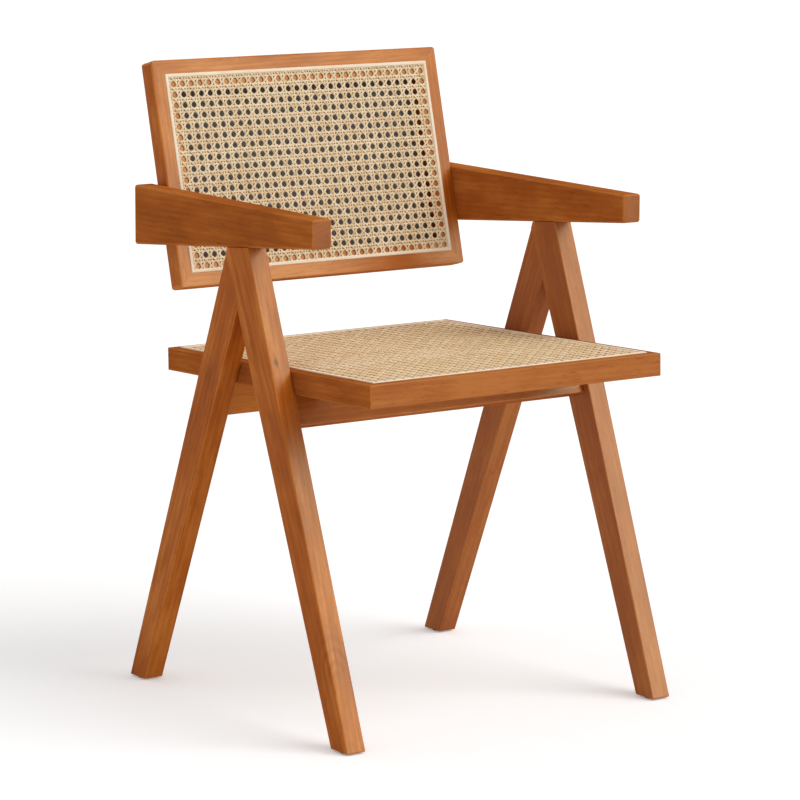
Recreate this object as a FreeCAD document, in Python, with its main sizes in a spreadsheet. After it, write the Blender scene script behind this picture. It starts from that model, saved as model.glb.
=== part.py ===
import FreeCAD, Part
import os
import Sketcher
from FreeCAD import Placement, Rotation, Vector

# Dining armchair: two leaning side frames with wedge armrests, a caned seat on two
# cross rails and a caned back held between the arms. Millimetres, +Z up. The chair
# faces -Y and the origin lies on the floor under the middle of its box. Left and
# right are as seen from the front.

SIZES = {
    # Side frames: two legs that lean together under each armrest
    "frame_width": 440.0,           # clear width between the side frames
    "side_thickness": 27.0,         # legs and arms, across the chair
    "foot_spread": 489.0,           # front of the front foot to rear of the rear foot
    "foot_width": 35.0,             # each leg at the floor, front to rear
    "front_leg_top_width": 54.5,    # front leg at the height of the arm's front
    "rear_leg_top_width": 53.5,     # rear leg at the same height
    "apex_front": -27.7,            # where the legs' front edge reaches that height
    "apex_width": 33.5,             # front edge to rear edge of the pair, there
    "leg_rounding": 1.5,
    "foot_rounding": 1.2,
    # Armrests: level on top, deeper towards the rear
    "arm_front": -172.7,            # front end of the arm
    "arm_length": 398.5,
    "arm_top_front": 631.0,         # height of the top above the floor
    "arm_top_rear": 636.0,
    "arm_front_depth": 35.5,        # top to underside
    "arm_rear_depth": 75.5,
    "arm_rounding": 3.5,
    # Seat: a mitred frame with cane stretched over it
    "seat_front": -250.45,          # top front edge
    "seat_front_height": 443.0,
    "seat_length": 447.0,           # front to rear
    "seat_thickness": 28.5,
    "seat_tilt": 1.6,               # degrees, down towards the rear
    "seat_side_gap": 1.0,           # seat frame to leg, each side
    "seat_rail_width": 52.0,
    "seat_border": 12.5,            # outer edge to the spline
    "seat_front_corner": 2.0,       # radius of the frame's corners, seen from above
    "seat_rear_corner": 5.0,
    # Back: a mitred frame, caned on both faces over a dark lining
    "back_foot": -67.3,             # bottom front edge, from the top rear corner of the arms
    "back_foot_height": -126.0,
    "back_length": 288.5,           # along its slope
    "back_thickness": 24.0,
    "back_tilt": 14.0,              # degrees, back from plumb
    "back_member_width": 36.0,
    "back_border": 18.0,
    "back_corner": 6.0,             # radius of the frame's corners, seen from the front
    "frame_rounding": 2.0,          # outer edges of both mitred frames
    # Cane, spline and lining
    "cane_thickness": 2.4,
    "cane_rise": 0.8,               # how far the cane stands out of its rebate
    "spline_width": 4.5,
    "spline_crown": 1.4,            # how far the spline stands out of its groove
    "spline_rounding": 1.2,
    "groove_depth": 6.0,
    "lining_thickness": 0.6,
    "seat_net_pitch": 23.0,
    "seat_net_gap": 12.8,
    "back_net_pitch": 18.7,
    "back_net_gap": 10.5,
    # Cross rails under the seat, set parallel to the legs that hold them
    "rail_thickness": 20.0,
    "rail_depth": 40.0,             # below the seat, along the leg
    "rail_setback": 10.0,           # face of the leg to face of the rail
    "rail_rounding": 2.0,
    "tenon_length": 18.0,
    "tenon_thickness": 10.0,
    "tenon_shoulder": 6.0,
    # Hidden fixings
    "glue_gap": 0.1,                # round a dowel, screw or nail
    "arm_dowel_radius": 5.0,
    "arm_dowel_length": 40.0,
    "arm_dowel_spacing": 20.0,
    "leg_dowel_radius": 4.0,
    "leg_dowel_length": 30.0,
    "leg_dowel_first": 16.0,        # from the crotch, along the seam
    "leg_dowel_spacing": 20.0,
    "back_dowel_radius": 5.0,
    "back_dowel_length": 36.0,
    "back_dowel_in_arm": 15.0,
    "back_dowel_edge": 20.0,        # from the arm's top and underside
    "dowel_clearance": 3.0,         # least wood from a back dowel to the next fixing
    "key_length": 24.0,             # loose tongue across each mitre
    "key_width": 14.0,
    "key_thickness": 5.0,
    "screw_radius": 2.25,
    "screw_length": 45.0,
    "screw_head_radius": 4.5,
    "screw_head_height": 3.0,
    "screw_recess": 12.0,           # depth of the head below the rail's underside
    "glide_radius": 10.0,
    "glide_thickness": 2.0,
    "glide_nail_radius": 1.25,
    "glide_nail_length": 12.0,
}

# Places that follow from the sizes above.
DERIVED = {
    "outer_side": "sizes.frame_width / 2 + sizes.side_thickness",
    "side_middle": "sizes.frame_width / 2 + sizes.side_thickness / 2",
    "foot_front": "-sizes.foot_spread / 2",
    "foot_rear": "sizes.foot_spread / 2",
    "apex_rear": "sizes.apex_front + sizes.apex_width",
    "apex_middle": "sizes.apex_front + sizes.apex_width / 2",
    "arm_rear": "sizes.arm_front + sizes.arm_length",
    "arm_under_front": "sizes.arm_top_front - sizes.arm_front_depth",
    "arm_under_rear": "sizes.arm_top_rear - sizes.arm_rear_depth",
    "arm_under_slope": "(arm_under_rear - arm_under_front) / sizes.arm_length",
    "arm_under_apex": "arm_under_front + arm_under_slope * (apex_middle - sizes.arm_front)",
    "arm_top_slope": "(sizes.arm_top_rear - sizes.arm_top_front) / sizes.arm_length",
    "arm_top_apex": "sizes.arm_top_front + arm_top_slope * (apex_middle - sizes.arm_front)",
    "leg_rise": "arm_under_front - sizes.glide_thickness",
    "front_lean": "atan((sizes.apex_front - foot_front) / leg_rise)",
    "rear_lean": "atan((foot_rear - apex_rear) / leg_rise)",
    # The seam, where the rear leg meets the rear edge of the front leg
    "seam_slope": "(sizes.apex_front + sizes.front_leg_top_width - foot_front"
                  " - sizes.foot_width) / leg_rise",
    "rear_leg_slope": "(foot_rear - sizes.foot_width - apex_rear"
                      " + sizes.rear_leg_top_width) / leg_rise",
    "seam_lean": "atan(seam_slope)",
    "crotch_rise": "(sizes.foot_spread - 2 * sizes.foot_width) / (seam_slope + rear_leg_slope)",
    "crotch_place": "foot_front + sizes.foot_width + seam_slope * crotch_rise",
    "crotch_height": "sizes.glide_thickness + crotch_rise",
    # The legs run on into the arm, which is then cut out of them
    "leg_top": "(arm_under_apex + arm_top_apex) / 2",
    "leg_overrun": "leg_top - arm_under_front",
    "front_leg_tip": "sizes.apex_front + leg_overrun * tan(front_lean)",
    "seam_tip": "sizes.apex_front + sizes.front_leg_top_width + leg_overrun * seam_slope",
    "rear_leg_tip": "apex_rear - leg_overrun * tan(rear_lean)",
    "rear_leg_inner_tip": "apex_rear - sizes.rear_leg_top_width - leg_overrun * rear_leg_slope",
    # The seat's underside, as a line from its front edge
    "seat_width": "sizes.frame_width - 2 * sizes.seat_side_gap",
    "under_front": "sizes.seat_front - sizes.seat_thickness * sin(sizes.seat_tilt)",
    "under_height": "sizes.seat_front_height - sizes.seat_thickness * cos(sizes.seat_tilt)",
    # Where the outer face of each cross rail meets the seat's underside
    "front_rail_foot": "foot_front + sizes.rail_setback / cos(front_lean)"
                       " - sizes.glide_thickness * tan(front_lean)",
    "front_rail_top": "(under_height - (front_rail_foot - under_front) * tan(sizes.seat_tilt))"
                      " / (1 + tan(front_lean) * tan(sizes.seat_tilt))",
    "front_rail_place": "front_rail_foot + tan(front_lean) * front_rail_top",
    "rear_rail_foot": "foot_rear - sizes.rail_setback / cos(rear_lean)"
                      " + sizes.glide_thickness * tan(rear_lean)",
    "rear_rail_top": "(under_height - (rear_rail_foot - under_front) * tan(sizes.seat_tilt))"
                     " / (1 - tan(rear_lean) * tan(sizes.seat_tilt))",
    "rear_rail_place": "rear_rail_foot - tan(rear_lean) * rear_rail_top",
    # Heights along the back, in its middle plane, of the dowels that hold it
    "back_place": "arm_rear + sizes.back_foot",
    "back_height": "sizes.arm_top_rear + sizes.back_foot_height",
    "arm_under_back": "arm_under_front + arm_under_slope * (back_place - sizes.arm_front)",
    "back_middle_drop": "sizes.back_thickness / 2 * sin(sizes.back_tilt)",
    "back_middle_set": "sizes.back_thickness / 2 * cos(sizes.back_tilt)",
    "back_key_reach": "sizes.back_member_width / 2 + (sizes.key_length + sizes.key_width) / sqrt(8)",
    "back_dowel_low": "max((arm_under_back + sizes.back_dowel_edge - back_height + back_middle_drop)"
                      " / cos(sizes.back_tilt);"
                      " back_key_reach + sizes.back_dowel_radius + sizes.dowel_clearance)",
    "back_dowel_high": "max((sizes.arm_top_rear - sizes.back_dowel_edge - back_height + back_middle_drop)"
                       " / cos(sizes.back_tilt);"
                       " back_dowel_low + 2 * sizes.back_dowel_radius + sizes.dowel_clearance)",
    "cane_rebate": "sizes.cane_thickness - sizes.cane_rise",
    "rear_rebate": "cane_rebate + sizes.lining_thickness",
}

doc = FreeCAD.newDocument("dining_armchair")


def fill_sheet(name, cells):
    """A sheet with one named cell in each row."""
    sheet = doc.addObject("Spreadsheet::Sheet", name)
    for row, (alias, content) in enumerate(cells.items(), start=1):
        sheet.set(f"A{row}", alias)
        sheet.set(f"B{row}", str(content))
        sheet.setAlias(f"B{row}", alias)
    doc.recompute()
    return sheet


sizes = fill_sheet("sizes", SIZES)
derived = fill_sheet("derived", {alias: "=" + formula for alias, formula in DERIVED.items()})


def value(expression):
    """The number that an expression stands for."""
    result = sizes.evalExpression(expression)
    return float(getattr(result, "Value", result))


def place(piece, across, along, up, turn=None):
    """Binds a piece's place, and its turn about the chair's X axis, to expressions."""
    if turn is not None:
        piece.Placement = Placement(Vector(), Rotation(Vector(1, 0, 0), value(turn)))
        piece.setExpression("Placement.Rotation.Angle", turn)
    for axis, expression in zip("xyz", (across, along, up)):
        piece.setExpression(f"Placement.Base.{axis}", expression)


def make_body(name, where=None):
    body = doc.addObject("PartDesign::Body", name)
    if where:
        place(body, *where)
    return body


def sketch_on(body, role, name, height="0"):
    """An empty sketch parallel to one of the body's own planes."""
    plane = next(item for item in body.Origin.OriginFeatures if item.Role == role)
    sketch = body.newObject("Sketcher::SketchObject", name)
    sketch.AttachmentSupport = (plane, [""])
    sketch.MapMode = "FlatFace"
    sketch.setExpression("AttachmentOffset.Base.z", height)
    return sketch


def draw_polygon(sketch, corners):
    """A closed outline whose corners are pairs of expressions."""
    points = [Vector(value(across), value(up), 0) for across, up in corners]
    first = sketch.GeometryCount
    count = len(corners)
    for number in range(count):
        sketch.addGeometry(Part.LineSegment(points[number], points[(number + 1) % count]))
    for number, corner in enumerate(corners):
        line = first + number
        following = first + (number + 1) % count
        sketch.addConstraint(Sketcher.Constraint("Coincident", line, 2, following, 1))
        for kind, amount, expression in zip(("DistanceX", "DistanceY"), points[number], corner):
            index = sketch.addConstraint(Sketcher.Constraint(kind, -1, 1, line, 1, amount))
            sketch.setExpression(f"Constraints[{index}]", expression)


def pad(body, role, name, corners, height, length, reverse=False):
    """A prism on an outline."""
    sketch = sketch_on(body, role, name + "_outline", height)
    draw_polygon(sketch, corners)
    feature = body.newObject("PartDesign::Pad", name)
    feature.Profile = sketch
    feature.setExpression("Length", length)
    feature.Reversed = reverse
    doc.recompute()
    return feature


def pocket(body, role, name, corners, height, depth, reverse=False):
    """A prism taken away. It has to take something."""
    before = body.Shape.Volume
    sketch = sketch_on(body, role, name + "_outline", height)
    draw_polygon(sketch, corners)
    feature = body.newObject("PartDesign::Pocket", name)
    feature.Profile = sketch
    feature.setExpression("Length", depth)
    feature.Reversed = reverse
    doc.recompute()
    if not body.Shape.Volume < before:
        raise RuntimeError(name + " cuts nothing")
    return feature


def round_edges(body, name, radius, chosen):
    """Rounds the edges of a body that the test picks."""
    base = body.Tip
    edges = [f"Edge{number}" for number, edge in enumerate(base.Shape.Edges, start=1) if chosen(edge)]
    feature = body.newObject("PartDesign::Fillet", name)
    feature.Base = (base, edges)
    feature.setExpression("Radius", radius)
    doc.recompute()
    return feature


def cylinder(name, radius, height, where, quarter_turn=False):
    """A round bar along Z at a place, or along X after a quarter turn."""
    bar = doc.addObject("Part::Cylinder", name)
    bar.setExpression("Radius", radius)
    bar.setExpression("Height", height)
    place(bar, *where)
    if quarter_turn:
        bar.Placement = Placement(bar.Placement.Base, Rotation(Vector(0, 1, 0), 90))
    return bar


def group(name, members):
    compound = doc.addObject("Part::Compound", name)
    compound.Links = members
    return compound


def cut(name, base, tools):
    """A finished piece: its blank, less what fits into it."""
    piece = doc.addObject("Part::Cut", name)
    piece.Base = base
    piece.Tool = group(name + "_cuts", tools)
    return piece


def join(name, first, second):
    piece = doc.addObject("Part::Fuse", name)
    piece.Base = first
    piece.Tool = second
    return piece


def mirror(name, source):
    """The same piece on the other side of the chair."""
    piece = doc.addObject("Part::Mirroring", name)
    piece.Source = source
    piece.Normal = Vector(1, 0, 0)
    piece.Base = Vector(0, 0, 0)
    return piece


# Outlines of the side frame, in the YZ plane

ARM_OUTLINE = (
    ("sizes.arm_front", "derived.arm_under_front"),
    ("derived.arm_rear", "derived.arm_under_rear"),
    ("derived.arm_rear", "sizes.arm_top_rear"),
    ("sizes.arm_front", "sizes.arm_top_front"),
)
FRONT_LEG_OUTLINE = (
    ("derived.foot_front", "sizes.glide_thickness"),
    ("derived.foot_front + sizes.foot_width", "sizes.glide_thickness"),
    ("derived.seam_tip", "derived.leg_top"),
    ("derived.front_leg_tip", "derived.leg_top"),
)
REAR_LEG_OUTLINE = (
    ("derived.foot_rear - sizes.foot_width", "sizes.glide_thickness"),
    ("derived.foot_rear", "sizes.glide_thickness"),
    ("derived.rear_leg_tip", "derived.leg_top"),
    ("derived.rear_leg_inner_tip", "derived.leg_top"),
)
BEHIND_THE_PAIR = (
    ("derived.foot_rear", "sizes.glide_thickness"),
    ("derived.foot_rear + sizes.foot_width", "sizes.glide_thickness"),
    ("derived.foot_rear + sizes.foot_width", "derived.leg_top"),
    ("derived.rear_leg_tip", "derived.leg_top"),
)
AHEAD_OF_THE_SEAM = (
    ("derived.foot_front - sizes.foot_width", "sizes.glide_thickness"),
    ("derived.foot_front + sizes.foot_width / 2", "sizes.glide_thickness"),
    ("(derived.front_leg_tip + derived.seam_tip) / 2", "derived.leg_top"),
    ("derived.foot_front - sizes.foot_width", "derived.leg_top"),
)


def rises_from_the_foot(edge):
    """True for the four long edges of a leg."""
    starts_low = abs(edge.BoundBox.ZMin - value("sizes.glide_thickness")) < value("sizes.glue_gap")
    return starts_low and edge.BoundBox.ZLength > value("sizes.foot_width")


def lies_on_the_foot(edge):
    return abs(edge.BoundBox.ZMax - value("sizes.glide_thickness")) < value("sizes.glue_gap")


def side_pad(body, name, corners):
    """A board of the left side frame, from its outer face to its inner face."""
    return pad(body, "YZ_Plane", name, corners, "-derived.outer_side", "sizes.side_thickness")


def side_pocket(body, name, corners):
    return pocket(body, "YZ_Plane", name, corners, "-sizes.frame_width / 2", "sizes.side_thickness")


def left_leg_blank(name, outline, trims):
    """A tapered leg with rounded edges, cut level at the floor and along the arm."""
    body = make_body(name + "_blank")
    side_pad(body, name + "_board", outline)
    for trim_name, corners in trims:
        side_pocket(body, name + trim_name, corners)
    round_edges(body, name + "_edges", "sizes.leg_rounding", rises_from_the_foot)
    round_edges(body, name + "_foot", "sizes.foot_rounding", lies_on_the_foot)
    return body


def left_arm_blank():
    body = make_body("left_armrest_blank")
    side_pad(body, "left_armrest_board", ARM_OUTLINE)
    round_edges(body, "left_armrest_edges", "sizes.arm_rounding", lambda edge: True)
    return body


# Dowels of the left side. Each hole is its dowel and the glue gap round it.

def dowel_pairs(name, radius, length, places, quarter_turn=False):
    """The dowels of one joint, and the holes that take them."""
    dowels = []
    holes = []
    for number, (bar_place, hole_place) in enumerate(places, start=1):
        dowels.append(cylinder(f"{name}_{number}", radius, length, bar_place, quarter_turn))
        holes.append(cylinder(f"{name}_hole_{number}", f"{radius} + sizes.glue_gap",
                              f"{length} + 2 * sizes.glue_gap", hole_place, quarter_turn))
    return dowels, holes


def arm_dowels():
    """Upright dowels from the top of the front leg into the arm."""
    places = []
    for side in ("-", "+"):
        along = f"derived.apex_middle {side} sizes.arm_dowel_spacing / 2"
        foot = "derived.arm_under_apex - sizes.arm_dowel_length / 2"
        places.append((("-derived.side_middle", along, foot),
                       ("-derived.side_middle", along, foot + " - sizes.glue_gap")))
    return dowel_pairs("left_arm_dowel", "sizes.arm_dowel_radius", "sizes.arm_dowel_length", places)


def leg_dowels():
    """Dowels square to the seam between the two legs."""
    places = []
    for number in range(2):
        reach = f"(sizes.leg_dowel_first + {number} * sizes.leg_dowel_spacing)"
        spots = []
        for gap in ("0", "sizes.glue_gap"):
            start = f"(sizes.leg_dowel_length / 2 + {gap})"
            along = (f"derived.crotch_place + {reach} * sin(derived.seam_lean)"
                     f" + {start} * cos(derived.seam_lean)")
            up = (f"derived.crotch_height + {reach} * cos(derived.seam_lean)"
                  f" - {start} * sin(derived.seam_lean)")
            spots.append(("-derived.side_middle", along, up, "90 deg - derived.seam_lean"))
        places.append(spots)
    return dowel_pairs("left_leg_dowel", "sizes.leg_dowel_radius", "sizes.leg_dowel_length", places)


def back_dowels():
    """Level dowels from the arm into the stile of the back."""
    places = []
    for height in ("derived.back_dowel_low", "derived.back_dowel_high"):
        along = f"derived.back_place + {height} * sin(sizes.back_tilt) + derived.back_middle_set"
        up = f"derived.back_height + {height} * cos(sizes.back_tilt) - derived.back_middle_drop"
        start = "-sizes.frame_width / 2 - sizes.back_dowel_in_arm"
        places.append(((start, along, up), (start + " - sizes.glue_gap", along, up)))
    return dowel_pairs("left_back_dowel", "sizes.back_dowel_radius", "sizes.back_dowel_length",
                       places, quarter_turn=True)


# Foot glides: a flat pad and the nail that holds it

def left_glide(name, along):
    disc = cylinder(name + "_pad", "sizes.glide_radius", "sizes.glide_thickness",
                    ("-derived.side_middle", along, "0"))
    nail = cylinder(name + "_nail", "sizes.glide_nail_radius",
                    "sizes.glide_thickness + sizes.glide_nail_length",
                    ("-derived.side_middle", along, "0"))
    hole = cylinder(name + "_hole", "sizes.glide_nail_radius + sizes.glue_gap",
                    "sizes.glide_thickness + sizes.glide_nail_length + sizes.glue_gap",
                    ("-derived.side_middle", along, "0"))
    return join(name, disc, nail), hole


# Caned panels: the seat and the back. Each is drawn flat, its face in the XY plane with
# the near edge along X, and then turned about that edge.

SEAT = {
    "name": "seat",
    "sides": {"near": "front", "far": "rear", "left": "left", "right": "right"},
    "members": {"near": "rail", "far": "rail", "left": "rail", "right": "rail"},
    "width": "derived.seat_width",
    "length": "sizes.seat_length",
    "thickness": "sizes.seat_thickness",
    "member": "sizes.seat_rail_width",
    "border": "sizes.seat_border",
    "corners": {"near": "sizes.seat_front_corner", "far": "sizes.seat_rear_corner"},
    "net_pitch": "sizes.seat_net_pitch",
    "net_gap": "sizes.seat_net_gap",
    "place": ("0", "sizes.seat_front", "sizes.seat_front_height", "-sizes.seat_tilt"),
}
BACK = {
    "name": "back",
    "sides": {"near": "bottom", "far": "top", "left": "left", "right": "right"},
    "members": {"near": "rail", "far": "rail", "left": "stile", "right": "stile"},
    "width": "sizes.frame_width",
    "length": "sizes.back_length",
    "thickness": "sizes.back_thickness",
    "member": "sizes.back_member_width",
    "border": "sizes.back_border",
    "corners": {"near": "sizes.back_corner", "far": "sizes.back_corner"},
    "net_pitch": "sizes.back_net_pitch",
    "net_gap": "sizes.back_net_gap",
    "place": ("0", "derived.back_place", "derived.back_height", "90 - sizes.back_tilt"),
}


def edges_of(panel, inset):
    """The four sides of a panel, drawn in by an inset, as expressions."""
    left = f"-{panel['width']} / 2 + ({inset})"
    right = f"{panel['width']} / 2 - ({inset})"
    return left, right, inset, f"{panel['length']} - ({inset})"


def rectangle(panel, inset):
    left, right, near, far = edges_of(panel, inset)
    return ((left, near), (right, near), (right, far), (left, far))


def strip(panel, side, outer, inner):
    """One side of a mitred frame, between two insets from the panel's edge."""
    left, right, near, far = edges_of(panel, outer)
    inner_left, inner_right, inner_near, inner_far = edges_of(panel, inner)
    if side == "near":
        return ((left, near), (right, near), (inner_right, inner_near), (inner_left, inner_near))
    if side == "far":
        return ((right, far), (left, far), (inner_left, inner_far), (inner_right, inner_far))
    if side == "left":
        return ((left, far), (left, near), (inner_left, inner_near), (inner_left, inner_far))
    return ((right, near), (right, far), (inner_right, inner_far), (inner_right, inner_near))


def lies_on_side(panel, side):
    """A test for the long outer edges of one side."""
    left, right, near, far = (value(edge) for edge in edges_of(panel, "0"))
    axis, level = {"near": ("y", near), "far": ("y", far), "left": ("x", left), "right": ("x", right)}[side]
    tolerance = value("sizes.glue_gap")

    def test(edge):
        middle = edge.CenterOfMass
        return edge.Length > value(panel["thickness"]) and abs(getattr(middle, axis) - level) < tolerance

    return test


def stands_at(panel, side):
    """A test for the upright edges at the corners of one side."""
    left, right, near, far = (value(edge) for edge in edges_of(panel, "0"))
    level = {"near": near, "far": far}[side]
    tolerance = value("sizes.glue_gap")

    def test(edge):
        middle = edge.CenterOfMass
        upright = edge.BoundBox.ZLength > value(panel["thickness"]) - tolerance
        aside = min(abs(middle.x - left), abs(middle.x - right))
        return upright and aside < tolerance and abs(middle.y - level) < tolerance

    return test


def surround(panel):
    """What lies round a panel once its corners are rounded: it is cut from the frame."""
    name = panel["name"] + "_surround"
    body = make_body(name, panel["place"])
    pad(body, "XY_Plane", name + "_board", rectangle(panel, f"-{panel['member']}"),
        "0", panel["thickness"], reverse=True)
    pocket(body, "XY_Plane", name + "_opening", rectangle(panel, "0"), "0", panel["thickness"])
    for side, radius in panel["corners"].items():
        round_edges(body, f"{name}_{side}_corners", radius, stands_at(panel, side))
    return body


def lies_level(height):
    """A test for the long edges of a spline's exposed face."""
    def test(edge):
        box = edge.BoundBox
        low, high = value(height) - value("sizes.glue_gap"), value(height) + value("sizes.glue_gap")
        return low < box.ZMin and box.ZMax < high and edge.Length > 2 * value("sizes.spline_width")

    return test


def member_name(panel, side):
    return f"{panel['name']}_{panel['sides'][side]}_{panel['members'][side]}"


def frame_member(panel, side, rear_caned):
    """A mitred member with a rebate for the cane and a groove for the spline."""
    name = member_name(panel, side)
    body = make_body(name + "_blank", panel["place"])
    pad(body, "XY_Plane", name + "_board", strip(panel, side, "0", panel["member"]),
        "0", panel["thickness"], reverse=True)
    round_edges(body, name + "_edges", "sizes.frame_rounding", lies_on_side(panel, side))
    groove_inner = f"{panel['border']} + sizes.spline_width"
    rebate = strip(panel, side, groove_inner, panel["member"])
    groove = strip(panel, side, panel["border"], groove_inner)
    pocket(body, "XY_Plane", name + "_rebate", rebate, "0", "derived.cane_rebate")
    pocket(body, "XY_Plane", name + "_groove", groove, "0", "sizes.groove_depth")
    if rear_caned:
        rear = f"-{panel['thickness']}"
        pocket(body, "XY_Plane", name + "_rear_rebate", rebate, rear, "derived.rear_rebate", reverse=True)
        pocket(body, "XY_Plane", name + "_rear_groove", groove, rear, "sizes.groove_depth", reverse=True)
    return body


def spline_strip(panel, side, name, rear):
    """The reed that locks the edge of the cane in its groove, rounded where it shows."""
    body = make_body(name, panel["place"])
    corners = strip(panel, side, panel["border"], f"{panel['border']} + sizes.spline_width")
    floor = f"-{panel['thickness']} + sizes.groove_depth" if rear else "-sizes.groove_depth"
    crown = f"-{panel['thickness']} - sizes.spline_crown" if rear else "sizes.spline_crown"
    pad(body, "XY_Plane", name + "_reed", corners, floor, "sizes.groove_depth + sizes.spline_crown",
        reverse=rear)
    round_edges(body, name + "_crown", "sizes.spline_rounding", lies_level(crown))
    return body


def mitre_keys(panel):
    """Loose tongues across the four mitres, halfway through the frame."""
    name = panel["name"] + "_mitre_keys"
    body = make_body(name, panel["place"])
    sketch = sketch_on(body, "XY_Plane", name + "_outline",
                       f"-{panel['thickness']} / 2 - sizes.key_thickness / 2")
    left, right, near, far = edges_of(panel, f"{panel['member']} / 2")
    along = "sizes.key_length / 2 / sqrt(2)"
    aside = "sizes.key_width / 2 / sqrt(2)"
    for across, up, hand in ((left, near, "+"), (right, far, "+"), (right, near, "-"), (left, far, "-")):
        other = "-" if hand == "+" else "+"
        draw_polygon(sketch, (
            (f"{across} + {along} + {aside}", f"{up} {other} {along} {hand} {aside}"),
            (f"{across} - {along} + {aside}", f"{up} {hand} {along} {hand} {aside}"),
            (f"{across} - {along} - {aside}", f"{up} {hand} {along} {other} {aside}"),
            (f"{across} + {along} - {aside}", f"{up} {other} {along} {other} {aside}"),
        ))
    feature = body.newObject("PartDesign::Pad", name + "_tongues")
    feature.Profile = sketch
    feature.setExpression("Length", "sizes.key_thickness")
    doc.recompute()
    return body


def cane_net(panel, name, floor):
    """The cane sheet as one holed face, a coarse stand-in for the weave."""
    inset = f"{panel['border']} + sizes.spline_width"
    left, right, near, far = (value(edge) for edge in edges_of(panel, inset))
    height = value(floor)
    pitch = value(panel["net_pitch"])
    gap = value(panel["net_gap"])
    columns = int((right - left) // pitch)
    rows = int((far - near) // pitch)
    outline = [Vector(left, near, height), Vector(right, near, height),
               Vector(right, far, height), Vector(left, far, height)]
    wires = [Part.makePolygon(outline + outline[:1])]
    for column in range(columns):
        for row in range(rows):
            across = (left + right) / 2 + (column - (columns - 1) / 2) * pitch
            up = (near + far) / 2 + (row - (rows - 1) / 2) * pitch
            wires.append(Part.Wire([Part.makeCircle(gap / 2, Vector(across, up, height))]))
    face = Part.makeFace(wires, "Part::FaceMakerBullseye")
    net = doc.addObject("Part::Feature", name)
    net.Shape = face.extrude(Vector(0, 0, value("sizes.cane_thickness")))
    place(net, *panel["place"])
    print(name, columns, "by", rows, "gaps")
    return net


def lining():
    """Dark cloth caught between the rear of the back's frame and its rear cane."""
    body = make_body("back_lining", BACK["place"])
    corners = rectangle(BACK, f"{BACK['border']} + sizes.spline_width")
    pad(body, "XY_Plane", "back_lining_cloth", corners,
        f"-{BACK['thickness']} + derived.cane_rebate", "sizes.lining_thickness")
    return body


# Cross rails: a board with a tenon at each end, trimmed along the seat's underside

FRONT_RAIL = {
    "name": "front_cross_rail",
    "place": ("0", "derived.front_rail_place", "derived.front_rail_top", "-derived.front_lean"),
    "near": "0",
    "far": "sizes.rail_thickness",
}
REAR_RAIL = {
    "name": "rear_cross_rail",
    "place": ("0", "derived.rear_rail_place", "derived.rear_rail_top", "derived.rear_lean"),
    "near": "-sizes.rail_thickness",
    "far": "0",
}


def rail_blank(rail):
    """A rail in its own frame: Z runs up the leg, and Z = 0 is at the seat's underside."""
    name = rail["name"]
    body = make_body(name + "_blank", rail["place"])
    foot = "-sizes.rail_depth"
    over = "sizes.seat_thickness / 2"
    near, far = rail["near"], rail["far"]
    board = ((near, foot), (far, foot), (far, over), (near, over))
    pad(body, "YZ_Plane", name + "_board", board, "-sizes.frame_width / 2", "sizes.frame_width")
    bottom = value(foot) + value("sizes.glue_gap")
    round_edges(body, name + "_edges", "sizes.rail_rounding",
                lambda edge: edge.BoundBox.ZMax < bottom and edge.BoundBox.XLength > edge.BoundBox.YLength)
    middle = f"({near} + {far}) / 2"
    tenon_near = f"{middle} - sizes.tenon_thickness / 2"
    tenon_far = f"{middle} + sizes.tenon_thickness / 2"
    tenon_foot = foot + " + sizes.tenon_shoulder"
    tenon = ((tenon_near, tenon_foot), (tenon_far, tenon_foot), (tenon_far, over), (tenon_near, over))
    pad(body, "YZ_Plane", name + "_tenons", tenon, "-sizes.frame_width / 2 - sizes.tenon_length",
        "sizes.frame_width + 2 * sizes.tenon_length")
    return body


def seat_envelope():
    """The slab that the seat fills, taken right across the side frames."""
    body = make_body("seat_envelope", SEAT["place"])
    corners = (("-derived.outer_side", "0"), ("derived.outer_side", "0"),
               ("derived.outer_side", "sizes.seat_length"), ("-derived.outer_side", "sizes.seat_length"))
    pad(body, "XY_Plane", "seat_envelope_slab", corners, "0", "sizes.seat_thickness", reverse=True)
    return body


def rail_point(rail, up):
    """A place in the middle of a rail, near its left end, at a height in the rail's frame."""
    across, along, height, turn = rail["place"]
    middle = f"(({rail['near']} + {rail['far']}) / 2)"
    return (f"{across} - derived.seat_width / 2 + sizes.seat_rail_width / 2",
            f"{along} + {middle} * cos({turn}) - ({up}) * sin({turn})",
            f"{height} + {middle} * sin({turn}) + ({up}) * cos({turn})", turn)


def left_screw(rail):
    """A screw up through the rail into the seat frame, and the hole that takes it."""
    name = rail["name"] + "_screw"
    head_foot = "sizes.screw_recess - sizes.rail_depth"
    head = cylinder(name + "_head", "sizes.screw_head_radius", "sizes.screw_head_height",
                    rail_point(rail, head_foot))
    shank = cylinder(name + "_shank", "sizes.screw_radius", "sizes.screw_length",
                     rail_point(rail, head_foot))
    bore = cylinder(name + "_bore", "sizes.screw_radius + sizes.glue_gap",
                    "sizes.screw_length + sizes.glue_gap", rail_point(rail, head_foot))
    recess = cylinder(name + "_recess", "sizes.screw_head_radius + sizes.glue_gap",
                      "2 * sizes.screw_recess + sizes.screw_head_height",
                      rail_point(rail, head_foot + " - 2 * sizes.screw_recess"))
    return join(name, head, shank), join(name + "_hole", bore, recess)


# The chair, piece by piece

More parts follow.
